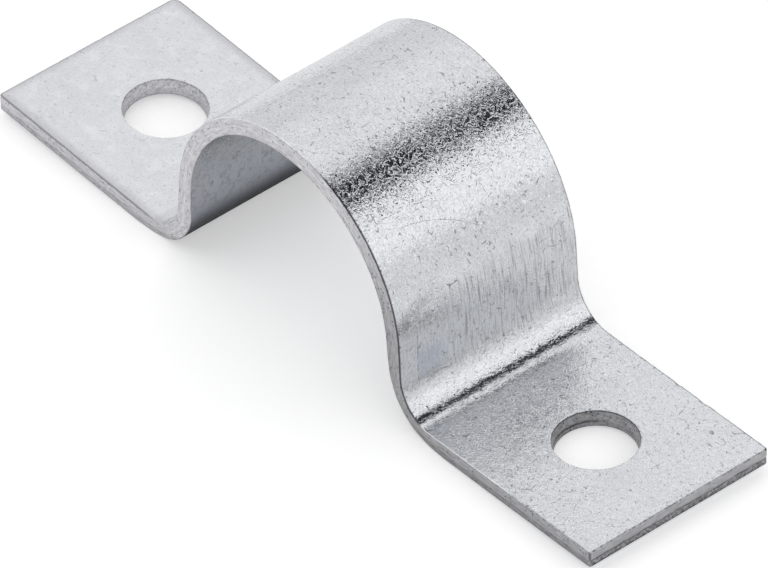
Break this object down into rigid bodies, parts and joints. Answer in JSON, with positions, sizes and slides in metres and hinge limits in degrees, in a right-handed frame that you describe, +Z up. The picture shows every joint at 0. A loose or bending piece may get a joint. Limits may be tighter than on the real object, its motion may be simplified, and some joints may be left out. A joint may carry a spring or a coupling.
{
  "type": "screw-on pipe clamp",
  "caption": "Bent steel strip with a half-round saddle that holds a pipe down, and on each side a flat lug with a round hole for a screw.",
  "frame": {"origin": "on the mounting plane, midway between the two lugs and midway across the strip; the plane touches the strip under its two foot bends", "axes": "+X along the clamp from the lug with the rounded corner to the other lug, +Y along the pipe, +Z up from the mounting plane to the crown of the saddle"},
  "size_m": [0.097, 0.025, 0.0275],
  "materials": {
    "zinc_plated_steel": "zinc-plated steel, pale grey and finely mottled, with pits and press scratches"
  },
  "bodies": {
    "root": {"clamp_strap": "zinc_plated_steel"}
  },
  "joints": []
}
